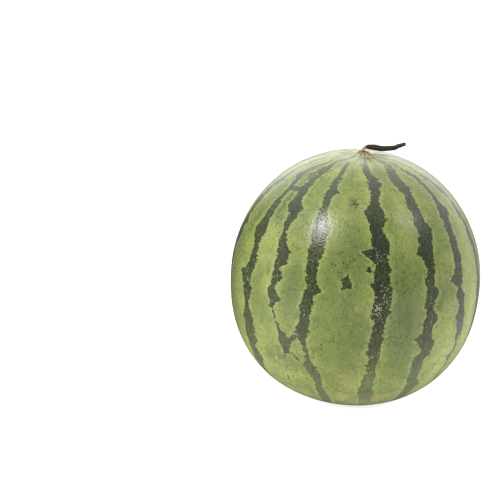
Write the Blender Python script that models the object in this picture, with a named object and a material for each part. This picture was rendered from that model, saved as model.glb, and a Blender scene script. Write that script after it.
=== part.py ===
"""A whole striped watermelon with its dried stem, resting on a small flat spot.

Metres, +Z up, with the ground at z = 0 and the origin under the middle of the fruit's box.
The fruit grew as one piece, from the corky scar at its stem end to the flat spot below.
The dried stem is the second piece: it stands on the scar and bends over to the +X side.
"""

import math

import bmesh
import bpy
from mathutils import Matrix, Vector
from mathutils.geometry import interpolate_bezier

MM = 0.001

# The fruit's body: a superellipse turned about the fruit's own axis
RADIUS = 114 * MM
STEM_HALF = 116.5 * MM  # from the widest circle to the stem end
BLOSSOM_HALF = 115.9 * MM  # from the widest circle to the blossom end
STEM_FULLNESS = 2.02  # exponents: 2 is an ellipse, and more is fuller
BLOSSOM_FULLNESS = 2.31
LEAN = math.radians(4.7)  # of the axis, towards +X
CENTRE_HEIGHT = 113.7 * MM  # above the ground, which presses the lowest part flat
LOBES = ((5, 0.4, 0.4 * MM), (11, 1.9, 0.25 * MM))  # waves round the fruit, phase, height

# The stem end: heights over the body, against the distance from the scar's middle
SCAR_X = -2.4 * MM  # the scar grew a little off the axis
DIP_DEPTH = 0.7 * MM
DIP_RADIUS = 13 * MM
DIP_WIDTH = 8 * MM
PUCKERS = 13
PUCKER_HEIGHT = 0.3 * MM
PUCKER_RADIUS = 17 * MM
PUCKER_WIDTH = 9 * MM
COLLAR_HEIGHT = 2.4 * MM
COLLAR_TOP = 2.4 * MM  # radius of the level top that the stem stands on
COLLAR_FOOT = 6.6 * MM  # mean radius at the rind
COLLAR_SKEW = 0.9 * MM  # how much further the foot reaches on the +X side
LIP_REACH = 3.4 * MM  # of the raised lip under the stem, past the foot
LIP_SIDE = math.radians(10)
LIP_SPREAD = math.radians(32)
RIDGES = 9
RIDGE_HEIGHT = 0.35 * MM

# The stem: places in mm from the scar's middle on the rind, and its radius there in mm
STEM_COURSE = (
    ((0.0, 0.0, 2.7), 1.75),
    ((0.1, 0.0, 3.6), 1.2),
    ((0.9, 0.0, 4.9), 1.15),
    ((2.7, 0.1, 5.9), 1.35),
    ((5.7, 0.8, 6.4), 2.05),
    ((11.4, 1.9, 5.9), 2.45),
    ((19.6, 3.5, 5.1), 2.2),
    ((27.6, 5.1, 6.0), 1.95),
    ((31.5, 5.9, 7.5), 1.8),
    ((35.5, 6.7, 9.0), 1.5),
    ((38.0, 7.2, 9.5), 1.35),
)
STEM_RIBS = 5
STEM_RIB_SHARE = 0.11  # height of a rib, as a share of the radius there
STEM_TWIST = math.radians(50)  # of the ribs, from foot to tip

# How finely the surfaces are divided
MERIDIANS = 80
PARALLELS = 48
SCAR_RINGS = 8
SCAR_RING_STEP = 1.3 * MM
STEM_SIDES = 20
STEM_STEPS = 4  # rings for each stretch of the stem's course


def remove_objects():
    for thing in list(bpy.data.objects):
        bpy.data.objects.remove(thing, do_unlink=True)


def finish(name, colour, roughness):
    """A plain Principled BSDF material."""
    material = bpy.data.materials.new(name)
    material.use_nodes = True
    shader = material.node_tree.nodes["Principled BSDF"]
    shader.inputs["Base Color"].default_value = (*colour, 1)
    shader.inputs["Roughness"].default_value = roughness
    shader.inputs["Metallic"].default_value = 0
    return material


def moved_sphere(sides, rings, place):
    """A sphere of even parallels, each of its points moved to place(ring, angle)."""
    bm = bmesh.new()
    bmesh.ops.create_uvsphere(bm, u_segments=sides, v_segments=rings, radius=1)
    for vert in bm.verts:
        down = math.acos(max(-1, min(1, vert.co.z)))
        vert.co = place(round(down / math.pi * rings), math.atan2(vert.co.y, vert.co.x))
    return bm


def as_object(name, bm, sharp_angle, material):
    """The finished mesh as an object, its faces pointing out and shaded smooth."""
    bmesh.ops.recalc_face_normals(bm, faces=bm.faces)
    mesh = bpy.data.meshes.new(name)
    bm.to_mesh(mesh)
    bm.free()
    mesh.shade_smooth()
    mesh.set_sharp_from_angle(angle=sharp_angle)
    mesh.materials.append(material)
    thing = bpy.data.objects.new(name, mesh)
    bpy.context.scene.collection.objects.link(thing)
    return thing


def bell(distance, middle, width):
    return math.exp(-(((distance - middle) / width) ** 2))


def ease(start, end, value):
    """0 up to start, 1 from end on, and smooth between them."""
    share = min(max((value - start) / (end - start), 0), 1)
    return share * share * (3 - 2 * share)


def turn_between(angle, other):
    """The smaller turn from one angle to the other, without its sign."""
    return abs((angle - other + math.pi) % math.tau - math.pi)


def body(down, angle):
    """Distance from the axis and height of the plain body, down that angle from the stem end."""
    fullness, half = (STEM_FULLNESS, STEM_HALF)
    if math.cos(down) < 0:
        fullness, half = (BLOSSOM_FULLNESS, BLOSSOM_HALF)
    lobes = sum(high * math.cos(count * angle + phase) for count, phase, high in LOBES)
    out = RADIUS * math.sin(down) ** (2 / fullness) + lobes * math.sin(down) ** 2
    height = math.copysign(half * abs(math.cos(down)) ** (2 / fullness), math.cos(down))
    return out, height


def collar(reach, angle):
    """Height of the corky collar, with its ridges and its lip."""
    lip = LIP_REACH * bell(turn_between(angle, LIP_SIDE), 0, LIP_SPREAD)
    foot = COLLAR_FOOT + COLLAR_SKEW * math.cos(angle) + lip
    share = 1 - ease(COLLAR_TOP, foot, reach)
    slope = 4 * share * (1 - share)
    return COLLAR_HEIGHT * share + RIDGE_HEIGHT * slope * math.cos(RIDGES * angle)


def stem_end(reach, angle):
    """All that the stem end adds to the body or takes from it."""
    dip = DIP_DEPTH * bell(reach, DIP_RADIUS, DIP_WIDTH)
    pucker = PUCKER_HEIGHT * bell(reach, PUCKER_RADIUS, PUCKER_WIDTH) * math.cos(PUCKERS * angle + 1)
    return collar(reach, angle) - dip + pucker


def ring_angle(ring):
    """Angle of a parallel from the stem end: even steps on the scar, and growing ones below it."""
    scar_step = SCAR_RING_STEP / RADIUS
    if ring <= SCAR_RINGS:
        return ring * scar_step
    scar_edge = SCAR_RINGS * scar_step
    share = (ring - SCAR_RINGS) / (PARALLELS - SCAR_RINGS)
    return scar_edge + (math.pi - scar_edge) * share * (1 + share) / 2


def fruit_point(ring, angle):
    """A point of the fruit's surface, with its middle at the origin and its axis upright."""
    if ring == PARALLELS:
        return Vector((0, 0, -BLOSSOM_HALF))
    out, height = body(ring_angle(ring), angle)
    shift = 0
    if height > 0:
        height += stem_end(out, angle)
        shift = SCAR_X * bell(out, 0, 2 * DIP_RADIUS)
    return Vector((out * math.cos(angle) + shift, out * math.sin(angle), height))


def make_fruit():
    """The body with its scar, leaned, and cut level by the ground."""
    bm = moved_sphere(MERIDIANS, PARALLELS, fruit_point)
    upright = Matrix.Rotation(-LEAN, 3, "Y")
    up = upright @ Vector((0, 0, 1))
    everything = bm.verts[:] + bm.edges[:] + bm.faces[:]
    bmesh.ops.bisect_plane(
        bm, geom=everything, dist=1e-6, plane_co=-CENTRE_HEIGHT * up, plane_no=up, clear_inner=True
    )
    bmesh.ops.edgeloop_fill(bm, edges=[edge for edge in bm.edges if edge.is_boundary])
    fruit = as_object("fruit", bm, math.radians(35), finish("rind", (0.27, 0.38, 0.11), 0.4))
    fruit.location = (0, 0, CENTRE_HEIGHT)
    fruit.rotation_euler = (0, LEAN, 0)
    return fruit


def stem_stations():
    """Rings along a smooth curve through the course: middle, radius, and two directions across it."""
    places = [Vector(place) * MM for place, _ in STEM_COURSE]
    radii = [radius * MM for _, radius in STEM_COURSE]
    last = len(places) - 1
    pulls = [(places[min(i + 1, last)] - places[max(i - 1, 0)]) / 6 for i in range(last + 1)]
    middles = []
    for i in range(last):
        near, far = (places[i] + pulls[i], places[i + 1] - pulls[i + 1])
        stretch = interpolate_bezier(places[i], near, far, places[i + 1], STEM_STEPS + 1)
        for step in range(STEM_STEPS):
            share = ease(0, 1, step / STEM_STEPS)
            middles.append((stretch[step], radii[i] + share * (radii[i + 1] - radii[i])))
    middles.append((places[last], radii[last]))

    stations = []
    side = Vector((0, 1, 0))
    for i, (middle, radius) in enumerate(middles):
        ahead = middles[min(i + 1, len(middles) - 1)][0] - middles[max(i - 1, 0)][0]
        if i == 0:
            ahead = Vector((0, 0, 1))
        side = (side - side.project(ahead)).normalized()
        stations.append((middle, radius, side, ahead.normalized().cross(side)))
    return stations


def make_stem():
    """A ribbed, closed tube from the scar to the cut tip."""
    stations = stem_stations()
    rings = len(stations) + 1

    def stem_point(ring, angle):
        station = min(max(ring - 1, 0), len(stations) - 1)
        middle, radius, side, across = stations[station]
        if ring in (0, rings):
            return middle
        twist = STEM_TWIST * station / len(stations)
        radius *= 1 + STEM_RIB_SHARE * math.cos(STEM_RIBS * (angle + twist))
        return middle + radius * (math.cos(angle) * side + math.sin(angle) * across)

    bm = moved_sphere(STEM_SIDES, rings, stem_point)
    stem = as_object("stem", bm, math.radians(50), finish("dried_stem", (0.05, 0.04, 0.03), 0.75))
    stem.location = (SCAR_X, 0, STEM_HALF)
    return stem


def middle_of(thing):
    """Middle of an object's box in X and Y."""
    bpy.context.view_layer.update()
    places = [thing.matrix_world @ vert.co for vert in thing.data.vertices]
    middles = []
    for axis in range(2):
        values = [place[axis] for place in places]
        middles.append((min(values) + max(values)) / 2)
    return middles


remove_objects()
watermelon = bpy.data.objects.new("watermelon", None)
bpy.context.scene.collection.objects.link(watermelon)
fruit = make_fruit()
fruit.parent = watermelon
stem = make_stem()
stem.parent = fruit
middle_x, middle_y = middle_of(fruit)
watermelon.location = (-middle_x, -middle_y, 0)
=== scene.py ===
"""The looks of a whole striped watermelon with its dried stem, on a pale floor in soft light."""

import math

import bpy
import numpy as np
from mathutils import Matrix, Vector
from mathutils.geometry import interpolate_bezier


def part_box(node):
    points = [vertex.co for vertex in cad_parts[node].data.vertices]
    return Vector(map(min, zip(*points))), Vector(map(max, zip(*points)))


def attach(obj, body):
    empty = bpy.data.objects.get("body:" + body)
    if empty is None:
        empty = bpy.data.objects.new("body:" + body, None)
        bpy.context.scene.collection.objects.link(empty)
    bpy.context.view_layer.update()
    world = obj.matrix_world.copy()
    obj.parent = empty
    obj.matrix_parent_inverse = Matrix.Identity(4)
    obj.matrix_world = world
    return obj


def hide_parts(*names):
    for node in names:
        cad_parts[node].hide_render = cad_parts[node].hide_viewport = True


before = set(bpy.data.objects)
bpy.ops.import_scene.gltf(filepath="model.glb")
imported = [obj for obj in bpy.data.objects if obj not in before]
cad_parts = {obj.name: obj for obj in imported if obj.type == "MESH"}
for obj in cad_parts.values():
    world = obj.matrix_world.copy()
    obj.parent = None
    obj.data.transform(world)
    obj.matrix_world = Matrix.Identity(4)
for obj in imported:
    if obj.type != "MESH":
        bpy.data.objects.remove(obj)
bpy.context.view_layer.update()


# Camera. The photo looks down on the fruit by 20 degrees, from about a metre and a half away,
# and the fruit stands right of the picture's middle, so the camera is turned a little off it.
MM = 0.001
CENTRE_HEIGHT = 113.7 * MM
CAMERA_DISTANCE = 1.516
CAMERA_DOWN = math.radians(20)
SENSOR_WIDTH = 36
PICTURE_PIXELS = 500
FOCAL_PIXELS = 1643.5
FRUIT_PIXEL = (354.73, 275.22)  # where the fruit's middle stands in the picture

bpy.ops.object.camera_add()
camera = bpy.context.object
camera.data.sensor_width = SENSOR_WIDTH
camera.data.lens = SENSOR_WIDTH * FOCAL_PIXELS / PICTURE_PIXELS
off_middle = [pixel - PICTURE_PIXELS / 2 for pixel in FRUIT_PIXEL]
across = math.atan(off_middle[0] / FOCAL_PIXELS)
below = math.atan(off_middle[1] * math.cos(across) / FOCAL_PIXELS)
aim = Matrix.Rotation(math.pi / 2 - CAMERA_DOWN, 4, "X")
turn = Matrix.Rotation(across, 4, "Y") @ Matrix.Rotation(below, 4, "X")
stand = Vector((0, -math.cos(CAMERA_DOWN), math.sin(CAMERA_DOWN))) * CAMERA_DISTANCE
camera.matrix_world = Matrix.Translation(stand + Vector((0, 0, CENTRE_HEIGHT))) @ aim @ turn
bpy.context.scene.camera = camera
bpy.context.scene.view_settings.view_transform = "Standard"


# Studio. The air is bright behind the fruit and dim on the camera's side, with two rim lights
# and two darker parts, one of them where the photo has a dark neighbour on the left. Two soft
# boxes hang over the fruit, left and right. The camera sees the air in one even tone.
SOFT_BOXES = (  # name, direction from the fruit, distance, width, height, watts
    ("key", (-0.453, -0.395, 0.8), 1.6, 0.36, 0.5, 15.5),
    ("fill", (0.67, -0.09, 0.736), 1.6, 0.18, 0.5, 2.9),
)
BACKWARDS = (-0.2, 0.98, 0)  # the air grows from dim to bright as a ray turns this way
DARKER_PARTS = (  # direction, facing it at the outer and the inner edge, and the share left there
    ((-0.8, 0.58, -0.15), 0.7, 0.95, 0.1),
    ((0, 0.9, -0.436), 0.93, 0.99, 0.03),
)
RIM_LIGHTS = (  # direction, facing it at the outer and the inner edge, and the level added there
    ((-0.34, 0.9, 0.27), 0.95, 0.99, 0.95),
    ((0.2, 0.97, 0.12), 0.94, 0.985, 0.4),
)
AIR_SEEN = 0.95


def linear(hex_colour):
    """An sRGB hex colour as linear red, green, blue and full alpha."""
    parts = [int(hex_colour[i : i + 2], 16) / 255 for i in (1, 3, 5)]
    return (*[p / 12.92 if p <= 0.04045 else ((p + 0.055) / 1.055) ** 2.4 for p in parts], 1)


def add_node(tree, kind, inputs=(), **settings):
    """Adds a node with its settings; each input is a value, or the socket that it is linked to."""
    node = tree.nodes.new(kind)
    for name, value in settings.items():
        setattr(node, name, value)
    for name, value in dict(inputs).items():
        if isinstance(value, bpy.types.NodeSocket):
            tree.links.new(value, node.inputs[name])
        else:
            node.inputs[name].default_value = value
    return node


def mapped(tree, value, start, end, low=0, high=1, smooth=False):
    """Low where the value is at start, high where it is at end, and held beyond them."""
    inputs = {"Value": value, "From Min": start, "From Max": end, "To Min": low, "To Max": high}
    kind = "SMOOTHSTEP" if smooth else "LINEAR"
    return add_node(tree, "ShaderNodeMapRange", inputs, interpolation_type=kind).outputs[0]


def reckoned(tree, operation, *values):
    """What a Math node makes of the values."""
    inputs = dict(enumerate(values))
    return add_node(tree, "ShaderNodeMath", inputs, operation=operation).outputs[0]


def mixed(tree, share, under, over, data_type="RGBA"):
    """That share of over on under, which are colours, or plain values where data_type is FLOAT."""
    first, result = (6, 2) if data_type == "RGBA" else (2, 0)
    inputs = {"Factor": share, first: under, first + 1: over}
    return add_node(tree, "ShaderNodeMix", inputs, data_type=data_type).outputs[result]


def facing(tree, looking, direction):
    """1 where a ray looks straight in that direction, and less beside it."""
    inputs = {0: looking, 1: direction}
    node = add_node(tree, "ShaderNodeVectorMath", inputs, operation="DOT_PRODUCT")
    return node.outputs["Value"]


world = bpy.data.worlds.new("studio_air")
world.use_nodes = True
tree = world.node_tree
looking = add_node(tree, "ShaderNodeTexCoord").outputs["Generated"]
axes = add_node(tree, "ShaderNodeSeparateXYZ", {"Vector": looking}).outputs
over_horizon = mapped(
    tree, facing(tree, looking, BACKWARDS), -0.75, 0.75, low=0.02, high=1.55, smooth=True
)
right = mapped(tree, axes["X"], 0.3, 0.7, low=0.3, smooth=True)
left = mapped(tree, axes["X"], -0.4, -0.8, high=0.8, smooth=True)
under_horizon = mapped(tree, axes["Z"], 0.04, -0.12, smooth=True)
level = mixed(tree, under_horizon, over_horizon, reckoned(tree, "ADD", right, left), "FLOAT")
for direction, outer, inner, share in DARKER_PARTS:
    beside = mapped(tree, facing(tree, looking, direction), outer, inner, 1, share, smooth=True)
    level = reckoned(tree, "MULTIPLY", level, beside)
for direction, outer, inner, added in RIM_LIGHTS:
    glow = mapped(tree, facing(tree, looking, direction), outer, inner, 0, added, smooth=True)
    level = reckoned(tree, "ADD", level, glow)
camera_ray = add_node(tree, "ShaderNodeLightPath").outputs["Is Camera Ray"]
air = tree.nodes["Background"]
air.inputs["Color"].default_value = linear("#FAFAFA")
tree.links.new(mixed(tree, camera_ray, level, AIR_SEEN, "FLOAT"), air.inputs["Strength"])
bpy.context.scene.world = world

for name, direction, distance, width, height, watts in SOFT_BOXES:
    towards = Vector(direction).normalized()
    bpy.ops.object.light_add(type="AREA", location=towards * distance + Vector((0, 0, CENTRE_HEIGHT)))
    lamp = bpy.context.object
    lamp.name = name
    lamp.rotation_euler = towards.to_track_quat("Z", "Y").to_euler()
    lamp.data.shape = "RECTANGLE"
    lamp.data.size = width
    lamp.data.size_y = height
    lamp.data.energy = watts


# Floor. White paper that runs out of the picture on all sides, lit through from below, so that it is
# nearly shadowless but for a shadow painted into its glow round the fruit's foot. It is a little
# brighter on the left.
# What the camera sees and the light that it gives the fruit are set apart, and it isn't mirrored. The
# light that it gives is dimmed under the fruit, as painted shade.
FLOOR_SIZE = 8
# A shadow painted round the fruit's foot, in what the camera sees of the floor
PAINTED_FOOT_SHADOW = (26 * MM, 62 * MM, 0.5)  # from the middle outwards, and the share left at first
PAPER_SEEN = (-0.3, 0.2, 1.45, 1.1)  # from left to right, and the brightness at both places
LIGHT_GIVEN = (45 * MM, 110 * MM, 0.1, 1.4)  # from the middle outwards, and the same for it

bpy.ops.object.select_all(action="DESELECT")
bpy.ops.mesh.primitive_plane_add(size=FLOOR_SIZE)
floor = bpy.context.object
floor.name = "pale_floor"
bright_paper = bpy.data.materials.new("bright_paper")
bright_paper.use_nodes = True
tree = bright_paper.node_tree
floor_at = add_node(tree, "ShaderNodeTexCoord").outputs["Object"]
reach = add_node(tree, "ShaderNodeVectorMath", {0: floor_at}, operation="LENGTH").outputs["Value"]
painted_foot_shadow = mapped(tree, reach, *PAINTED_FOOT_SHADOW, smooth=True)
sideways = add_node(tree, "ShaderNodeSeparateXYZ", {"Vector": floor_at}).outputs["X"]
paper_seen = reckoned(tree, "MULTIPLY", mapped(tree, sideways, *PAPER_SEEN, smooth=True), painted_foot_shadow)
# Painted shade: the glow that lights the fruit is dimmed round its foot
light_given = mapped(tree, reach, *LIGHT_GIVEN, smooth=True)
camera_ray = add_node(tree, "ShaderNodeLightPath").outputs["Is Camera Ray"]
paper_level = mixed(tree, camera_ray, light_given, paper_seen, "FLOAT")
paper = tree.nodes["Principled BSDF"]
paper.inputs["Base Color"].default_value = linear("#606060")
paper.inputs["Roughness"].default_value = 0.9
paper.inputs["Specular IOR Level"].default_value = 0
paper.inputs["Emission Color"].default_value = linear("#FFFFFF")
tree.links.new(paper_level, paper.inputs["Emission Strength"])
floor.data.materials.append(bright_paper)
floor.visible_glossy = False


# The rind. A melon's waxy skin, grown in one piece with the corky collar round the stem: light
# green, with dark stripes that run from the stem end to the blossom end with toothed edges.
# Places on it are degrees: latitude from the widest circle up to the stem end, and longitude
# from the side that faces the camera, growing towards +X.
RADIUS = 114 * MM
STEM_HALF = 116.5 * MM
BLOSSOM_HALF = 115.9 * MM
STEM_FULLNESS = 2.02
BLOSSOM_FULLNESS = 2.31
LEAN = math.radians(4.7)
LOBES = ((5, 0.4, 0.4 * MM), (11, 1.9, 0.25 * MM))
SCAR_X = -2.4 * MM
DIP_DEPTH, DIP_RADIUS, DIP_WIDTH = (0.7 * MM, 13 * MM, 8 * MM)
PUCKERS, PUCKER_HEIGHT, PUCKER_RADIUS, PUCKER_WIDTH = (13, 0.3 * MM, 17 * MM, 9 * MM)
COLLAR_HEIGHT, COLLAR_TOP, COLLAR_FOOT, COLLAR_SKEW = (2.4 * MM, 2.4 * MM, 6.6 * MM, 0.9 * MM)
LIP_REACH, LIP_SIDE, LIP_SPREAD = (3.4 * MM, math.radians(10), math.radians(32))
RIDGES, RIDGE_HEIGHT = (9, 0.35 * MM)
WRINKLES, WRINKLE_HEIGHT = (31, 0.12 * MM)
PALE_LIP_SIDE, PALE_LIP_RADIUS, PALE_LIP_WIDTH = (math.radians(42), 9.5 * MM, 3.4 * MM)
DIMPLE_DEPTH, DIMPLE_WIDTH, DIMPLE_CORK = (1.3 * MM, 5 * MM, 3 * MM)
RIND_SIDES, RIND_RINGS = (384, 256)
SCAR_RINGS, SCAR_RING_STEP = (40, 0.33 * MM)
FAR_OUT, FAR_OFF = (-50.0, 200)  # mm, for places that are near no stripe and not on the scar's side

GROUND_GREEN, GROUND_YELLOW, GROUND_DEEP_AND_PAINTED_SHADE, GROUND_PALE_AND_PAINTED_LIGHT = ("#89964F", "#9FA85C", "#687A49", "#B8C46E")
GROUND_CLOUD, GROUND_RIM, GROUND_STRAW = ("#7C894A", "#AEB876", "#AFA564")
PORE_GREEN, VEIN_GREEN, SPECK_YELLOW = ("#445723", "#3A4C20", "#C6CB82")
STRIPE_EDGE, STRIPE_MIDDLE, STRIPE_GRAIN, FLECK = ("#1F2B0D", "#3A4228", "#6A7250", "#ABAE84")
STRIPE_LOW, STRIPE_BLOOM_AND_SHEEN, STRIPE_SLATE = ("#6D764C", "#5B6150", "#373C33")
RAY_DARK, RAY_PALE, SCAR_SHEEN = ("#59643F", "#C4CAA8", "#ABB58C")
CORK_CRACK_AND_SHADE, CORK_TAN, CORK_PALE = ("#5E452D", "#AD8F6C", "#D4C09E")
CORK_LIP, BROWN_TINGE = ("#D6C8A4", "#66602F")

# Each stripe from its upper end to its lower one: latitude, west edge and east edge
STRIPES = (
    # first from the left
    ((82, -70, -54), (78, -69, -58), (75, -68.5, -60), (70, -66.5, -60), (65, -69.5, -64),
     (60, -72, -64.5), (57.5, -74.5, -62), (55, -68, -61), (53, -66.5, -60.5), (50, -64, -59.5),
     (45, -63.5, -59), (40, -64, -57.5), (36, -64, -57), (33, -63.5, -56.5), (30, -64, -55.5),
     (27.5, -65, -54.5), (25, -63.5, -56), (22, -60.5, -56), (20, -59, -55), (17, -59, -53.5),
     (12, -59.5, -53), (10, -60.5, -54.5), (7, -63, -55), (5, -63.5, -54.5), (2, -60.5, -52),
     (-0.5, -60, -53.5), (-3, -58.5, -54.5), (-5, -58, -53.5), (-8, -59.5, -51.5), (-10, -60.5, -51),
     (-13, -58.5, -50.5), (-16, -59.5, -51), (-19, -59.5, -49.5), (-22, -58, -52.5), (-25, -58.5, -51),
     (-28, -58.5, -48.5), (-31, -59.5, -50), (-35, -60, -52), (-40, -59, -53), (-50, -59, -51),
     (-60, -57, -52), (-68, -55, -53)),
    # second
    ((80, -58, -44), (76, -57, -47), (72, -56, -48), (67, -52, -45), (63, -52, -46), (60, -52, -46.5),
     (57, -52, -45), (55, -52.5, -44.5), (52, -53, -44), (50, -51, -44), (47, -50.5, -42.5),
     (45, -50.5, -40), (43, -51, -38), (41, -48, -39), (40, -46.5, -39.5), (37, -45.5, -40),
     (35, -46, -41), (32, -44, -41), (29, -44, -40.5), (26, -43.5, -37.5), (24, -42.5, -34.5),
     (22, -42, -35), (20, -41.5, -35), (18.5, -42, -34.5), (17, -42, -37.5), (15, -41, -38),
     (12, -41.5, -35.5), (10, -41.5, -37), (8, -41.5, -38.5), (6, -43, -38), (4, -42.5, -35.5),
     (3, -42, -34.5), (1, -41, -37), (-1, -41, -38.5), (-3, -38.5, -37.5), (-5, -37.5, -36.5),
     (-7, -36.5, -35.5), (-9, -36, -32), (-10, -35.5, -31), (-12, -35.5, -29.5), (-14, -35.5, -29),
     (-16, -34, -29.5), (-18, -33, -28.5), (-20, -33, -32), (-22, -33.5, -32.5), (-23.5, -33.2, -33)),
    # third
    ((83, -40, -26), (79, -38, -28), (77, -36.5, -28), (75, -34.5, -26), (72, -33, -26),
     (70, -32, -25), (67, -31, -24), (65, -30, -23), (62, -30, -24), (60, -30, -23.5), (58, -29, -22),
     (56, -29.5, -19), (54, -30, -22.5), (52, -30, -23), (50, -28.5, -23), (47, -27.5, -22.5),
     (45, -27.5, -22), (40, -27.5, -19.5), (37.5, -27, -17), (35, -27, -18.5), (33, -26.5, -17.5),
     (30, -25.5, -17.5), (27, -26, -18), (24, -25, -18), (20, -25, -19), (17, -24.5, -19),
     (14, -24, -18), (12, -23, -17), (10.5, -23, -15), (9.5, -23, -17), (8, -24, -19), (5, -24.5, -19),
     (2, -25.5, -19), (0, -25, -19.5), (-3, -24.5, -20), (-5, -26.5, -19.5), (-7, -26, -20),
     (-9, -26, -20.5), (-11, -24, -21), (-13, -23.5, -20.5), (-15, -22, -19.5), (-16.5, -21, -19.8),
     (-18, -22, -19), (-20, -21.5, -18.5), (-22, -22.5, -17), (-25, -22.5, -15.5), (-27, -21, -14.5),
     (-30, -19.5, -14), (-33, -18, -14), (-36, -18, -13.5), (-40, -18, -12.5), (-45, -17, -11),
     (-50, -18, -10), (-58, -17, -11), (-66, -15, -12)),
    # the patch between the third and the fourth
    ((19.4, -4.9, -4.5), (18, -5.4, -4.1), (17.2, -8.6, -3.4), (16.4, -6.4, -3.2), (15.2, -7.8, -2.2),
     (14.4, -6.2, -3), (13.6, -6.8, -1.6), (12.6, -7.2, -6.4)),
    # fourth, the one nearest to the middle
    ((84, -8, 14), (80, -5, 9), (77, -4.5, 8), (74, -4, 7.5), (72, -4, 7), (70, -2.5, 9), (68, 0, 12),
     (66.5, 2, 16.5), (65, 3.5, 15), (63.5, 4, 19), (62, 4, 15.5), (60, 5, 13), (58, 4.5, 14),
     (56, 5, 12.5), (53, 4, 11.5), (50, 3.5, 12.5), (48, 0.5, 14), (45, 1.5, 14.5), (44, 2, 15.5),
     (42, 4, 13), (40, 4.5, 12), (38, 5, 12.5), (35, 5.5, 14.5), (33, 5.5, 15.5), (31, 6, 15),
     (30, 2, 14.5), (29.5, 0.5, 14.5), (28.5, 1.5, 14.5), (27, 4, 14), (25, 6.5, 14), (22, 7, 15.5),
     (20, 7, 14.5), (17, 7.5, 14.5), (15.5, 5.5, 14.5), (14, 7, 16), (12, 7.5, 15.5), (9, 7.5, 16),
     (7, 7, 15), (4, 7, 15), (2, 6.5, 14), (0, 7.5, 13.5), (-3, 8, 13), (-6, 7.5, 13.5), (-8, 7, 13),
     (-10, 7, 12.5), (-12.5, 5.5, 12.5), (-14, 8, 12.5), (-17, 7.5, 11.5), (-19, 6, 11.5),
     (-22, 8, 12), (-25, 7, 13), (-28, 6, 12), (-31, 6, 12), (-35, 5, 13), (-38, 5.5, 14),
     (-42, 6.5, 14), (-46, 7, 15.5), (-50, 8, 16.5), (-58, 9, 16), (-66, 11, 14)),
    # fifth
    ((83, 40, 56), (79, 41, 54), (75.5, 39, 53), (74.8, 37, 53), (73, 33, 47), (71, 31.5, 47),
     (69, 29.5, 44), (67, 29, 42.5), (65.5, 27.5, 41.5), (63, 29, 41.5), (61, 29.5, 42),
     (59.5, 31, 43), (59, 31, 49), (58.5, 31.5, 43), (57, 32.5, 42), (55, 33, 41), (52, 31.5, 40),
     (50, 31.5, 39.5), (47, 33, 40), (44, 32.5, 39.5), (42, 31.5, 40), (40, 31.5, 41.5),
     (38.5, 33, 42), (38, 33, 46), (37.5, 33, 42), (36, 33, 42), (34, 31.5, 41), (31, 31, 40),
     (29, 30, 40), (28, 28, 39), (26.5, 31.5, 39), (25, 32.5, 38.5), (22, 33.5, 39), (20, 34, 38),
     (18, 33, 37.5), (16, 31.5, 37.5), (14, 32.5, 37), (12, 32.5, 39), (10.5, 32.5, 39.5), (8, 32, 38),
     (6, 31.5, 37), (3, 33, 37), (1, 33, 38.5), (-1, 32, 40), (-3, 31.5, 37), (-5, 31.5, 37),
     (-7.5, 28, 38), (-10, 31, 40), (-12, 32.5, 39.5), (-14, 33, 38.5), (-15.5, 29.5, 39.5),
     (-17, 29.5, 36.5), (-20, 29.5, 36), (-24, 30.5, 36.5), (-27, 30, 36.5), (-30, 30.5, 37),
     (-32, 31.5, 39.5), (-35, 31.5, 41.5), (-38, 32, 39.5), (-41, 32, 39.5), (-50, 33, 40),
     (-60, 34, 39), (-67, 35.5, 37.5)),
    # sixth
    ((82, 62, 72), (76, 60, 66), (70, 57, 62.5), (67, 57.5, 65), (64, 60, 68), (60, 59.5, 64.5),
     (57, 59.5, 65), (55, 59, 64.5), (52, 59.5, 63.5), (50, 57, 63.5), (47, 56.5, 63.5),
     (44, 55.5, 66), (42, 53.5, 64.5), (40, 55, 61.5), (37, 53, 60), (33, 53.5, 59), (30, 53, 59.5),
     (27, 52.5, 57.5), (25, 52.5, 59), (22, 52, 59), (20, 52, 58), (17, 50.5, 58), (15, 48, 57),
     (14, 47.5, 57), (12, 49.5, 56.5), (10, 53, 56), (8, 51.5, 56), (6, 51, 58), (4, 53, 58),
     (1, 53.5, 58), (-2, 52, 59.5), (-5, 53.5, 60), (-8, 54.5, 60.5), (-10, 54.5, 60.5),
     (-12, 54.5, 59), (-14, 56.5, 58), (-16, 56.5, 58.5), (-18, 56.5, 59), (-20, 53, 57.5),
     (-24, 54.5, 56.5), (-28, 54, 55.5), (-32, 54, 56.5), (-42, 54, 58), (-54, 55, 59), (-65, 56, 58)),
    # seventh, at the right rim
    ((78, 80, 86), (72, 77, 82), (66, 76, 80), (62, 74, 80), (57, 76, 81), (52, 75, 84), (47, 78, 81),
     (44, 77.5, 80.5), (40, 74.5, 80), (37, 74.5, 79.5), (33, 76, 80.5), (30, 73, 79.5),
     (27, 73.5, 78), (23, 74.5, 79), (20, 74, 78), (17, 73.5, 77.5), (10, 73, 78), (4, 72, 78.5),
     (-3, 73.5, 79), (-10, 72.5, 78), (-17, 73, 78.5), (-25, 73, 80), (-35, 74, 79), (-48, 73, 79),
     (-62, 75, 77.5)),
)

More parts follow.
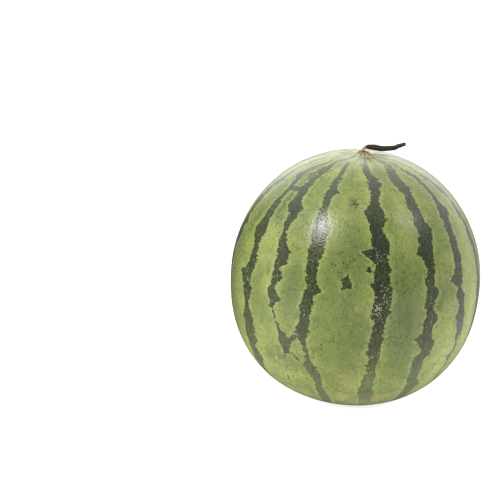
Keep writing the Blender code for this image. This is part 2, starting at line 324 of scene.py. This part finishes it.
# Thin branches and bridges: latitude and longitude of both ends, and half the width in degrees
BRANCHES = (
    ((50.5, -60), (53, -47), 2.4),
    ((-12.5, -29.5), (-7.5, -25.5), 1.1),
    ((-17.5, -28.5), (-20.5, -26), 0.6),
    ((-20.5, -26), (-23, -23.5), 0.6),
    ((-33, -34), (-40, -34), 0.6),
    ((68, -44), (68.5, -36), 0.7),
    ((48, 0.5), (49.4, -1.6), 0.7),
    ((51.2, -3.6), (51.7, -4.4), 0.6),
    ((50.4, -5.2), (49.6, -5.8), 0.8),
    ((51.6, -6.4), (51.0, -7.4), 0.9),
    ((52.8, -7.4), (53.8, -8.4), 0.7),
    ((49.8, -7.8), (49.2, -8.6), 0.7),
    ((52.4, -9.6), (51.6, -10), 0.5),
    ((22.9, 4.9), (21.5, 4.9), 0.9),
    ((9.2, -62.6), (8, -62.6), 0.9),
)

# Soft-edged patches: latitude, longitude, half height and half width in degrees, and strength
PATCHES = {
    "flecked": (  # stripes with light flecks
        (6, 11, 16, 8, 0.8),
        (27, 8, 5, 5, 0.8),
        (44, 9, 8, 5, 0.45),
        (-22, 10, 18, 8, 0.5),
        (40, -22, 7, 7, 0.9),
        (8, -22, 20, 7, 0.4),
        (-15, -22, 14, 7, 0.5),
        (-5, -57, 40, 8, 0.5),
        (8, 35, 24, 7, 0.35),
        (-20, 35, 16, 8, 0.3),
        (10, -38, 20, 6, 0.4),
    ),
    # partly painted shade, darkening the left rim and the left side
    "deep_green_and_painted_shade": (  # deeper light green, with more pores
        (22, -4, 26, 9, 0.9),
        (22, -12, 9, 5, 0.8),
        (52, 18, 12, 7, 0.5),
        (70, 22, 6, 12, 0.7),
        (-40, 20, 14, 10, 0.6),
        (4, -78, 30, 9, 1.0),
        (0, -52, 22, 7, 0.3),
        (8, -31, 18, 6, 0.8),
        (66, -14, 10, 12, 0.35),
        (48, -66, 16, 14, 0.5),
        (18, 45, 24, 5, 0.25),
        (5, 22, 34, 9, 1.0),
        (-8, 0, 22, 7, 0.6),
    ),
    # partly painted light, brightening the lower left and the right side
    "pale_and_painted_light": (  # paler light green
        (-26, -50, 16, 7, 0.4),
        (-34, -60, 18, 10, 0.6),
        (-22, 48, 18, 6, 0.5),
        (-12, 67, 34, 7, 0.75),
        (34, 24, 12, 7, 0.35),
    ),
    "straw": (  # light green that turns to straw
        (-45, -3, 7, 6, 0.9),
        (-50, -12, 6, 7, 0.5),
        (-44, 21, 6, 7, 0.9),
        (-30, -2, 12, 11, 0.5),
        (-24, 21, 10, 7, 0.45),
        (-30, -38, 10, 10, 0.4),
        (-34, 48, 12, 8, 0.5),
        (6, 1, 4, 4, 0.3),
    ),
    "brown_tinge": (  # a brown tinge beside the cork
        (84.2, 30, 1.8, 38, 1.0),
        (85, -50, 1.6, 16, 0.7),
        (80, 48, 3, 7, 0.5),
    ),
    "faded": (  # stripes that fade
        (-54, 11, 11, 8, 0.55),
        (-30, 11, 4, 4, 0.3),
    ),
    "slate": (  # stripes of a smooth slate grey
        (32, 9, 13, 9, 1.0),
        (14, 9, 6, 7, 0.7),
        (58, 8, 12, 9, 0.6),
        (30, 36, 10, 7, 0.5),
        (-18, -31, 4, 5, 0.8),
        (42, -42, 6, 6, 0.6),
    ),
    "crackled": (  # skin with fine dark lines
        (64, -53, 8, 12, 1.0),
        (46, -54, 12, 4, 0.7),
        (30, -70, 16, 5, 0.6),
        (51.4, -6.4, 3.2, 4.2, 1.0),
        (-22, -38, 8, 10, 0.5),
    ),
}

# The side that the photo doesn't show has stripes of the same kind: their longitudes, half their
# width in degrees, and how often and how far a tooth stands out of an edge
HIDDEN_STRIPES = (101, 126, 150, 176, 201, 226, 252, 277)
HIDDEN_HALF = 3.3
TOOTH_CHANCE, TOOTH_LEAST, TOOTH_MOST = (0.22, 1, 3.2)
SEED = 7


def bell(distance, middle, width):
    return np.exp(-(((distance - middle) / width) ** 2))


def ease(start, end, value):
    """0 up to start, 1 from end on, and smooth between them."""
    share = np.clip((value - start) / (end - start), 0, 1)
    return share * share * (3 - 2 * share)


def turn_between(angle, other):
    """The smaller turn from one angle to the other, without its sign."""
    return abs((angle - other + math.pi) % math.tau - math.pi)


def collar(reach, angle):
    """Height of the corky collar with its ridges and lip, and the reach as a share of its foot's."""
    lip = LIP_REACH * bell(turn_between(angle, LIP_SIDE), 0, LIP_SPREAD)
    foot = COLLAR_FOOT + COLLAR_SKEW * np.cos(angle) + lip
    share = 1 - ease(COLLAR_TOP, foot, reach)
    slope = 4 * share * (1 - share)
    ridges = RIDGE_HEIGHT * slope * np.cos(RIDGES * angle)
    wrinkles = WRINKLE_HEIGHT * slope * np.cos(WRINKLES * angle + 2 * np.sin(3 * angle))
    return COLLAR_HEIGHT * share + ridges + wrinkles, reach / foot


def patches_of(patches, latitude, longitude):
    """The strength of soft-edged patches at each place."""
    strength = np.zeros(len(latitude))
    for lat, lon, tall, wide, amount in patches:
        patch = amount * bell(latitude, lat, tall) * bell(longitude, lon, wide)
        strength = np.maximum(strength, patch)
    return strength


def hidden_stripe(middle, draw):
    """Edges of a stripe at that longitude, with teeth that point outwards, from its upper end down."""
    rows = []
    latitude = draw.uniform(70, 77)
    end = draw.uniform(-68, -62)
    sway = draw.uniform(0, math.tau)
    while latitude > end:
        spine = middle + 1.6 * math.sin(sway + latitude / 24) + draw.uniform(-0.4, 0.4)
        taper = min(1, (latitude - end + 6) / 30) * (0.8 + 0.2 * math.cos(latitude / 40))
        west, east = (HIDDEN_HALF * taper * draw.uniform(0.75, 1.1) for _ in range(2))
        if draw.random() < TOOTH_CHANCE:
            west += draw.uniform(TOOTH_LEAST, TOOTH_MOST)
        if draw.random() < TOOTH_CHANCE:
            east += draw.uniform(TOOTH_LEAST, TOOTH_MOST)
        rows.append((latitude, spine - west, spine + east))
        latitude -= draw.uniform(1.6, 3.2)
    return tuple(rows)


def depth_in_stripe(rows, latitude, longitude, mm_per_turn):
    """How deep in a stripe each place lies in mm, and below 0 outside it."""
    rising = sorted(rows)
    heights = [row[0] for row in rising]
    west = np.interp(latitude, heights, [row[1] for row in rising])
    east = np.interp(latitude, heights, [row[2] for row in rising])
    off = (longitude - (west + east) / 2 + 180) % 360 - 180
    beside = ((east - west) / 2 - abs(off)) * mm_per_turn
    beyond = np.minimum(latitude - heights[0], heights[-1] - latitude) * math.radians(RADIUS / MM)
    return np.minimum(beside, beyond)


def depth_in_branch(branch, latitude, longitude):
    """How deep in a branch each place lies in mm, and below 0 outside it."""
    (lat_a, lon_a), (lat_b, lon_b), half = branch
    mm_per_rise = math.radians(RADIUS / MM)
    mid_turn = RADIUS / MM * math.radians(1) * math.cos(math.radians((lat_a + lat_b) / 2))
    ends = np.array([(lon_a * mid_turn, lat_a * mm_per_rise), (lon_b * mid_turn, lat_b * mm_per_rise)])
    points = np.stack([((longitude + 180) % 360 - 180) * mid_turn, latitude * mm_per_rise], axis=1)
    along = ends[1] - ends[0]
    share = np.clip((points - ends[0]) @ along / (along @ along), 0, 1)
    near = ends[0] + share[:, None] * along
    return half * mid_turn - np.linalg.norm(points - near, axis=1)


def add_sphere(name, sides, rings):
    """A new sphere, with each point's ring, counted from the top, and its angle."""
    bpy.ops.object.select_all(action="DESELECT")
    bpy.ops.mesh.primitive_uv_sphere_add(segments=sides, ring_count=rings, radius=1)
    sphere = bpy.context.object
    sphere.name = name
    co = np.empty(len(sphere.data.vertices) * 3)
    sphere.data.vertices.foreach_get("co", co)
    co = co.reshape(-1, 3)
    ring = np.rint(np.arccos(np.clip(co[:, 2], -1, 1)) / math.pi * rings).astype(int)
    return sphere, ring, np.arctan2(co[:, 1], co[:, 0])


def leaned(co, box):
    """Points leaned as the fruit leans, at its height, and centred over the box of their solid."""
    co = co @ np.array(Matrix.Rotation(LEAN, 3, "Y")).T
    co[:, 2] += CENTRE_HEIGHT
    low, high = (np.array(corner) for corner in box)
    co[:, :2] += (low + high)[:2] / 2 - (co.min(axis=0) + co.max(axis=0))[:2] / 2
    return co


# Small even rings on the scar, and even larger ones below it
rind, ring, angle = add_sphere("striped_rind", RIND_SIDES, RIND_RINGS)
scar_edge = SCAR_RINGS * SCAR_RING_STEP / RADIUS
down = np.where(
    ring <= SCAR_RINGS,
    ring * SCAR_RING_STEP / RADIUS,
    scar_edge + (math.pi - scar_edge) * (ring - SCAR_RINGS) / (RIND_RINGS - SCAR_RINGS),
)
upper = np.cos(down) >= 0
fullness = np.where(upper, STEM_FULLNESS, BLOSSOM_FULLNESS)
half = np.where(upper, STEM_HALF, BLOSSOM_HALF)
lobes = sum(high * np.cos(number * angle + phase) for number, phase, high in LOBES)
sine, cosine = (np.sin(down).clip(0), np.cos(down))
out = RADIUS * sine ** (2 / fullness) + lobes * sine**2
height = np.copysign(half * abs(cosine) ** (2 / fullness), cosine)
cork_height, cork_reach = collar(out, angle)
dip = DIP_DEPTH * bell(out, DIP_RADIUS, DIP_WIDTH)
pucker = PUCKER_HEIGHT * bell(out, PUCKER_RADIUS, PUCKER_WIDTH) * np.cos(PUCKERS * angle + 1)
height += np.where(upper, cork_height - dip + pucker, 0)
shift = np.where(upper, SCAR_X * bell(out, 0, 2 * DIP_RADIUS), 0)
co = np.stack([out * np.cos(angle) + shift, out * np.sin(angle), height], axis=1)

# Set down on the flat spot, whose middle keeps the small dimple of the blossom end
co = leaned(co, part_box("fruit"))
on_flat = co[:, 2] <= 0
co[:, 2] = co[:, 2].clip(0)
blossom = co[ring == RIND_RINGS][0]
from_blossom = np.hypot(co[:, 0] - blossom[0], co[:, 1] - blossom[1])
co[:, 2] += np.where(on_flat, DIMPLE_DEPTH * bell(from_blossom, 0, DIMPLE_WIDTH), 0)
rind.data.vertices.foreach_set("co", co.ravel())
bpy.ops.object.shade_smooth()

# What the material reads: depth in a stripe, places along and round the fruit, cork and patches
latitude = 90 - np.degrees(down)
longitude = (np.degrees(angle) + 270) % 360 - 180
mm_per_turn = np.maximum(out / MM, 1e-3) * math.radians(1)
draw = np.random.default_rng(SEED)
stripes = STRIPES + tuple(hidden_stripe(middle, draw) for middle in HIDDEN_STRIPES)
depth = np.full(len(co), FAR_OUT)
for rows in stripes:
    depth = np.maximum(depth, depth_in_stripe(rows, latitude, longitude, mm_per_turn))
for branch in BRANCHES:
    depth = np.maximum(depth, depth_in_branch(branch, latitude, longitude))
cork = np.where(upper, 1 - ease(0.7, 1.55, cork_reach), bell(from_blossom, 0, DIMPLE_CORK))
pale_lip = bell(turn_between(angle, PALE_LIP_SIDE), 0, LIP_SPREAD)
pale_lip *= bell(out, PALE_LIP_RADIUS, PALE_LIP_WIDTH) * upper
measures = {
    "stripe_mm": depth,
    "latitude": latitude,
    "cork": cork,
    "lip": pale_lip,
    "scar_reach_mm": np.where(upper, out / MM, FAR_OFF),
}
for name, patches in PATCHES.items():
    measures[name] = patches_of(patches, latitude, longitude)
for name, values in measures.items():
    rind.data.attributes.new(name, "FLOAT", "POINT").data.foreach_set("value", values)
arc = RADIUS * (math.pi / 2 - down)
course = np.stack([RADIUS * np.cos(angle), RADIUS * np.sin(angle), arc], axis=1)
rind.data.attributes.new("course", "FLOAT_VECTOR", "POINT").data.foreach_set("vector", course.ravel())

# Melon rind: living plant skin under a thin coat of wax. The wax gives a soft, slightly broken
# gloss, and the pores and cells below it give dots, fine veins and short streaks.
PER_MM = 1000  # texture cells a metre, for cells of 1 mm


def stretched(tree, place, across_mm, along_mm):
    """A place counted in cells of that size, for textures of scale 1."""
    scale = (PER_MM / across_mm, PER_MM / across_mm, PER_MM / along_mm)
    return add_node(tree, "ShaderNodeMapping", {"Vector": place, "Scale": scale}).outputs[0]


def noise(tree, place, detail, size_mm=PER_MM):
    """Noise of that size, which is left out for a stretched place."""
    inputs = {"Vector": place, "Scale": PER_MM / size_mm, "Detail": detail}
    return add_node(tree, "ShaderNodeTexNoise", inputs).outputs["Fac"]


def cells(tree, place, size_mm=PER_MM, feature="F1"):
    """Outputs of a texture of cells of that size, which is left out for a stretched place."""
    inputs = {"Vector": place, "Scale": PER_MM / size_mm}
    return add_node(tree, "ShaderNodeTexVoronoi", inputs, feature=feature).outputs


def net_of(tree, place, size_mm=PER_MM):
    """Distance from the lines between such cells, as a share of a cell."""
    return cells(tree, place, size_mm, "DISTANCE_TO_EDGE")["Distance"]


def scaled(tree, colour, factor):
    """A colour, brighter or darker by that factor."""
    inputs = {0: colour, "Scale": factor}
    return add_node(tree, "ShaderNodeVectorMath", inputs, operation="SCALE").outputs[0]


waxy_rind = bpy.data.materials.new("waxy_melon_rind")
waxy_rind.use_nodes = True
tree = waxy_rind.node_tree
tree.nodes.clear()
at = add_node(tree, "ShaderNodeTexCoord").outputs["Object"]
course_at = add_node(tree, "ShaderNodeAttribute", attribute_name="course").outputs["Vector"]
read = {}
for name in measures:
    read[name] = add_node(tree, "ShaderNodeAttribute", attribute_name=name).outputs["Fac"]

# The toothed edge. Round cells of 6 and 2.4 mm push it out where they meet, and cells that are
# 8 mm wide but 2.4 mm high give it thin teeth across the fruit, in some places more than in others.
teeth_place = stretched(tree, course_at, 8, 2.4)
tooth_crowd = noise(tree, at, 1, 9)
tooth_reach = mapped(tree, tooth_crowd, 0.42, 0.62, low=0.6, high=4.4)
edge = read["stripe_mm"]
for edge_cells, push_mm in (
    (cells(tree, at, 6), 1.6),
    (cells(tree, at, 2.4), 1.5),
    (cells(tree, teeth_place), tooth_reach),
):
    centred = reckoned(tree, "SUBTRACT", edge_cells["Distance"], 0.5)
    edge = reckoned(tree, "MULTIPLY_ADD", centred, push_mm, edge)
edge = reckoned(tree, "MULTIPLY_ADD", noise(tree, at, 2, 1.2), 2.2, edge)
in_stripe = mapped(tree, edge, 1.1, 1.75, smooth=True)
deep_in_stripe = mapped(tree, edge, 1.4, 2.9, smooth=True)
near_stripe = mapped(tree, edge, -3.7, 0.7, smooth=True)

# The light green: patches 45 mm wide, clouds of 15 mm, deeper places that are partly painted shade,
# paler places that are partly painted light, places that turn to straw, and a paler rim along the
# stripes
patchy = mapped(tree, noise(tree, at, 2, 45), 0.42, 0.58, smooth=True)
clouds = mapped(tree, noise(tree, at, 1, 15), 0.4, 0.7, high=0.6, smooth=True)
ragged = noise(tree, at, 5, 9)
straw = mapped(tree, reckoned(tree, "MULTIPLY_ADD", ragged, 0.9, read["straw"]), 0.75, 1.2, high=0.7)
rim = reckoned(tree, "MULTIPLY", near_stripe, 0.4)
ground = linear(GROUND_GREEN)
for share, colour in (
    (patchy, GROUND_YELLOW),
    (read["deep_green_and_painted_shade"], GROUND_DEEP_AND_PAINTED_SHADE),
    (clouds, GROUND_CLOUD),
    (read["pale_and_painted_light"], GROUND_PALE_AND_PAINTED_LIGHT),
    (straw, GROUND_STRAW),
    (rim, GROUND_RIM),
):
    ground = mixed(tree, share, ground, linear(colour))

# Grain of single cells, drawn coarser than life, at 2.4 mm, so that it shows
grain = mapped(tree, noise(tree, at, 4, 2.4), 0.3, 0.7, low=0.88, high=1.12)
ground = scaled(tree, ground, grain)

# Light yellow dots up to 1.7 mm wide, where each cell's own chance decides if it has one
specks = cells(tree, at, 2.8)
speck_chance = add_node(tree, "ShaderNodeSeparateColor", {"Color": specks["Color"]}).outputs[0]
speck_size = mapped(tree, speck_chance, 0.74, 1, high=0.3)
speck_gap = reckoned(tree, "SUBTRACT", speck_size, specks["Distance"])
speck = mapped(tree, speck_gap, -0.04, 0.1, high=0.5, smooth=True)
ground = mixed(tree, speck, ground, linear(SPECK_YELLOW))

# Dark green pores up to 2 mm wide, more of them in some places than in others, and a few larger
pores = cells(tree, at, 3.2)
crowding = reckoned(tree, "MULTIPLY_ADD", read["deep_green_and_painted_shade"], 0.12, noise(tree, at, 3, 25))
pore_chance = add_node(tree, "ShaderNodeSeparateColor", {"Color": pores["Color"]}).outputs[0]
pore_size = mapped(tree, crowding, 0.4, 0.7, low=0.02, high=0.3)
pore_size = reckoned(tree, "ADD", pore_size, mapped(tree, pore_chance, 0.9, 1, high=0.14))
pore_gap = reckoned(tree, "SUBTRACT", pore_size, pores["Distance"])
pore = mapped(tree, pore_gap, -0.06, 0.06, high=0.7, smooth=True)
ground = mixed(tree, pore, ground, linear(PORE_GREEN))

# Short streaks that follow the fruit's length, 1.2 mm wide and 5 mm long
streaks = noise(tree, stretched(tree, course_at, 1.2, 5), 2)
ground = mixed(tree, mapped(tree, streaks, 0.55, 0.75, high=0.5), ground, linear(PORE_GREEN))

# Thin veins: a broken net with meshes of about 10 mm, dark ones that run on from the teeth, and
# a net of 6 mm where the skin is crackled
bend = add_node(tree, "ShaderNodeTexNoise", {"Vector": at, "Scale": PER_MM / 9, "Detail": 3})
bent = add_node(
    tree,
    "ShaderNodeVectorMath",
    {0: bend.outputs["Color"], 1: (8 * MM, 8 * MM, 8 * MM), 2: at},
    operation="MULTIPLY_ADD",
).outputs[0]
vein = mapped(tree, net_of(tree, bent, 10), 0, 0.08, low=1, high=0)
vein = reckoned(tree, "MULTIPLY", vein, mapped(tree, ragged, 0.45, 0.62, high=0.4))
tooth_line = mapped(tree, net_of(tree, teeth_place), 0, 0.1, low=0.62, high=0)
tooth_zone = reckoned(tree, "MULTIPLY", mapped(tree, tooth_crowd, 0.46, 0.6, low=0.15), near_stripe)
tooth_line = reckoned(tree, "MULTIPLY", tooth_line, tooth_zone)
crackle = mapped(tree, net_of(tree, bent, 6), 0.07, 0.28, low=0.95, high=0)
crackle = reckoned(tree, "MULTIPLY", crackle, read["crackled"])
lines = reckoned(tree, "MAXIMUM", reckoned(tree, "MAXIMUM", vein, tooth_line), crackle)
ground = mixed(tree, lines, ground, linear(VEIN_GREEN))

# The dark stripes: green at their edges, nearly black inside, paler and greener towards the lower end,
# greyer towards the upper end as wax bloom and painted sheen, grained and streaked along their length,
# and with light flecks of about 1.5 mm where the fruit has them
stripe = mixed(tree, deep_in_stripe, linear(STRIPE_EDGE), linear(STRIPE_MIDDLE))
top_bloom_and_sheen = mapped(tree, read["latitude"], 42, 66, high=0.8)
low_down = mapped(tree, read["latitude"], 2, -26, high=0.75)
flecks = noise(tree, stretched(tree, course_at, 1.4, 1.6), 3)
for share, colour in (
    (top_bloom_and_sheen, STRIPE_BLOOM_AND_SHEEN),
    (low_down, STRIPE_LOW),
    (mapped(tree, flecks, 0.45, 0.7, high=0.6), STRIPE_GRAIN),
    (reckoned(tree, "MULTIPLY", read["slate"], 0.65), STRIPE_SLATE),
):
    stripe = mixed(tree, share, stripe, linear(colour))
stripe = scaled(tree, stripe, mapped(tree, streaks, 0.35, 0.7, low=0.72, high=1.36))
fleck_level = reckoned(tree, "MULTIPLY_ADD", noise(tree, at, 2, 11), 0.35, flecks)
fleck_level = reckoned(tree, "MULTIPLY_ADD", read["flecked"], 0.2, fleck_level)
fleck = mapped(tree, fleck_level, 0.9, 0.97, high=0.9, smooth=True)
stripe = mixed(tree, fleck, stripe, linear(FLECK))
start = mapped(tree, read["scar_reach_mm"], 8, 30, low=0.35)
shown = reckoned(tree, "MULTIPLY", in_stripe, start)
shown = reckoned(tree, "MULTIPLY", shown, reckoned(tree, "SUBTRACT", 1, read["faded"]))
skin = mixed(tree, shown, ground, stripe)

# A painted pale sheen on the skin round the scar, with thin grey-green lines and pale rays that run out
# from it, and a brown tinge beside the cork
round_scar = mapped(tree, read["scar_reach_mm"], 12, 42, low=1, high=0, smooth=True)
skin = mixed(tree, reckoned(tree, "MULTIPLY", round_scar, 0.6), skin, linear(SCAR_SHEEN))
rays = noise(tree, stretched(tree, course_at, 9, 60), 3)
for start, end, strength, colour in ((0.46, 0.34, 0.55, RAY_DARK), (0.52, 0.68, 0.7, RAY_PALE)):
    ray = reckoned(tree, "MULTIPLY", mapped(tree, rays, start, end, high=strength), round_scar)
    skin = mixed(tree, ray, skin, linear(colour))
skin = mixed(tree, reckoned(tree, "MULTIPLY", read["brown_tinge"], 0.75), skin, linear(BROWN_TINGE))

# Cork round the stem: tan and cracked, with fibres that run out on to the skin, painted shade in the
# hollow under the stem, and paler on the lip beside it
cork_fibres = noise(tree, stretched(tree, course_at, 14, 3), 4)
cork_level = reckoned(tree, "ADD", cork_fibres, noise(tree, at, 3, 1.2))
cork_ramp = add_node(tree, "ShaderNodeValToRGB", {"Fac": mapped(tree, cork_level, 0.8, 1.2)})
stops = cork_ramp.color_ramp.elements
stops.new(0.35)
for stop, position, colour in zip(stops, (0, 0.35, 0.75), (CORK_CRACK_AND_SHADE, CORK_TAN, CORK_PALE)):
    stop.position = position
    stop.color = linear(colour)
painted_hollow_shade = mapped(tree, read["scar_reach_mm"], 2.6, 5.5, low=0.75, high=0)
cork_colour = mixed(tree, painted_hollow_shade, cork_ramp.outputs["Color"], linear(CORK_CRACK_AND_SHADE))
corky = mapped(tree, reckoned(tree, "MULTIPLY_ADD", cork_fibres, 1.4, read["cork"]), 1.05, 1.25)
skin = mixed(tree, corky, skin, cork_colour)
skin = mixed(tree, reckoned(tree, "MULTIPLY", read["lip"], 0.85), skin, linear(CORK_LIP))

# Fine unevenness of the skin, 5 mm and 1.7 mm, that breaks up the gloss
bumps = reckoned(tree, "MULTIPLY_ADD", noise(tree, at, 2, 1.7), 1.5, noise(tree, at, 1, 5))
bumps = reckoned(tree, "MULTIPLY_ADD", corky, cork_level, bumps)
relief = add_node(
    tree, "ShaderNodeBump", {"Height": bumps, "Strength": 0.5, "Distance": 0.25 * MM}
)
surface = add_node(
    tree,
    "ShaderNodeBsdfPrincipled",
    {
        "Base Color": skin,
        "Roughness": mapped(tree, corky, 0, 1, low=0.27, high=0.85),
        "IOR": 1.45,
        "Normal": relief.outputs[0],
    },
)
add_node(tree, "ShaderNodeOutputMaterial", {"Surface": surface.outputs[0]})
rind.data.materials.append(waxy_rind)
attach(rind, "root")
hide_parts("fruit")


# The stem. The dried stalk that carried the fruit on its vine: a thin tan neck where it stands
# on the cork, then a shrunken, ribbed and twisted dark part that lies over to the right.
STEM_COURSE = (  # places in mm from the scar's middle on the rind, and the radius there in mm
    ((0.0, 0.0, 2.7), 1.75),
    ((0.1, 0.0, 3.6), 1.2),
    ((0.9, 0.0, 4.9), 1.15),
    ((2.7, 0.1, 5.9), 1.35),
    ((5.7, 0.8, 6.4), 2.05),
    ((11.4, 1.9, 5.9), 2.45),
    ((19.6, 3.5, 5.1), 2.2),
    ((27.6, 5.1, 6.0), 1.95),
    ((31.5, 5.9, 7.5), 1.8),
    ((35.5, 6.7, 9.0), 1.5),
    ((38.0, 7.2, 9.5), 1.35),
)
STEM_RIBS, STEM_RIB_SHARE, STEM_TWIST = (5, 0.11, math.radians(50))
STEM_SIDES, STEM_STEPS = (72, 16)
STEM_LENGTH, FIBRE_RADIUS = (46 * MM, 2 * MM)
STALK_DARK = ((0.35, "#16160E"), (0.75, "#4E4B3C"))
STALK_NECK = ((0.35, "#8C7754"), (0.65, "#DED3B8"))

places = [Vector(place) * MM for place, _ in STEM_COURSE]
radii = [radius * MM for _, radius in STEM_COURSE]
last = len(places) - 1
pulls = [(places[min(i + 1, last)] - places[max(i - 1, 0)]) / 6 for i in range(last + 1)]
spine = []
for i in range(last):
    near, far = (places[i] + pulls[i], places[i + 1] - pulls[i + 1])
    stretch = interpolate_bezier(places[i], near, far, places[i + 1], STEM_STEPS + 1)
    for step in range(STEM_STEPS):
        share = float(ease(0, 1, step / STEM_STEPS))
        spine.append((stretch[step], radii[i] + share * (radii[i + 1] - radii[i])))
spine.append((places[last], radii[last]))

stations = []
side = Vector((0, 1, 0))
for i, (middle, radius) in enumerate(spine):
    ahead = spine[min(i + 1, len(spine) - 1)][0] - spine[max(i - 1, 0)][0]
    if i == 0:
        ahead = Vector((0, 0, 1))
    side = (side - side.project(ahead)).normalized()
    stations.append((middle, radius, side, ahead.normalized().cross(side)))

stem_rings = len(stations) + 1
stem, ring, angle = add_sphere("dried_stem", STEM_SIDES, stem_rings)
station = (ring - 1).clip(0, len(stations) - 1)
middles, radii, sides, acrosses = (np.array(column)[station] for column in zip(*stations))
closed = (ring == 0) | (ring == stem_rings)
along = station / len(stations)
ribs = STEM_RIB_SHARE * np.cos(STEM_RIBS * (angle + STEM_TWIST * along))
wrinkles = 0.045 * np.cos(17 * angle + 9 * along + 1.5 * np.sin(23 * along))
wrinkles += 0.03 * np.cos(29 * angle - 14 * along)
shrunk = 0.05 * np.sin(40 * along + 2 * np.sin(angle)) * ease(0.3, 0.5, along)
radii = np.where(closed, 0, radii * (1 + ribs + wrinkles + shrunk))
co = middles + radii[:, None] * (np.cos(angle)[:, None] * sides + np.sin(angle)[:, None] * acrosses)
co = leaned(co + np.array((SCAR_X, 0, STEM_HALF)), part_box("stem"))
stem.data.vertices.foreach_set("co", co.ravel())
bpy.ops.object.mode_set(mode="EDIT")
bpy.ops.mesh.select_all(action="SELECT")
bpy.ops.mesh.normals_make_consistent(inside=False)
bpy.ops.object.mode_set(mode="OBJECT")
bpy.ops.object.shade_smooth()
stem.data.attributes.new("along", "FLOAT", "POINT").data.foreach_set("value", along)
round_it = (FIBRE_RADIUS * np.cos(angle), FIBRE_RADIUS * np.sin(angle))
lengthwise = np.stack([*round_it, along * STEM_LENGTH], axis=1)
stem.data.attributes.new("grain", "FLOAT_VECTOR", "POINT").data.foreach_set("vector", lengthwise.ravel())

# Dried plant stalk: woody fibres with the skin shrunk on to them, dull, tan where it broke dry
# first and dark brown elsewhere, with paler lengthwise wrinkles.
dry_stalk = bpy.data.materials.new("dried_melon_stalk")
dry_stalk.use_nodes = True
tree = dry_stalk.node_tree
tree.nodes.clear()
along_at = add_node(tree, "ShaderNodeAttribute", attribute_name="along").outputs["Fac"]
grain_at = add_node(tree, "ShaderNodeAttribute", attribute_name="grain").outputs["Vector"]
fibres = noise(tree, stretched(tree, grain_at, 0.7, 5), 4)
tones = []
for ramp_stops in (STALK_NECK, STALK_DARK):
    ramp = add_node(tree, "ShaderNodeValToRGB", {"Fac": fibres})
    for stop, (position, colour) in zip(ramp.color_ramp.elements, ramp_stops):
        stop.position = position
        stop.color = linear(colour)
    tones.append(ramp.outputs["Color"])
past_neck = mapped(tree, reckoned(tree, "MULTIPLY_ADD", fibres, 0.12, along_at), 0.3, 0.37)
relief = add_node(tree, "ShaderNodeBump", {"Height": fibres, "Strength": 0.6, "Distance": 0.2 * MM})
surface = add_node(
    tree,
    "ShaderNodeBsdfPrincipled",
    {
        "Base Color": mixed(tree, past_neck, *tones),
        "Roughness": 0.6,
        "IOR": 1.45,
        "Normal": relief.outputs[0],
    },
)
add_node(tree, "ShaderNodeOutputMaterial", {"Surface": surface.outputs[0]})
stem.data.materials.append(dry_stalk)
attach(stem, "root")
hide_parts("stem")
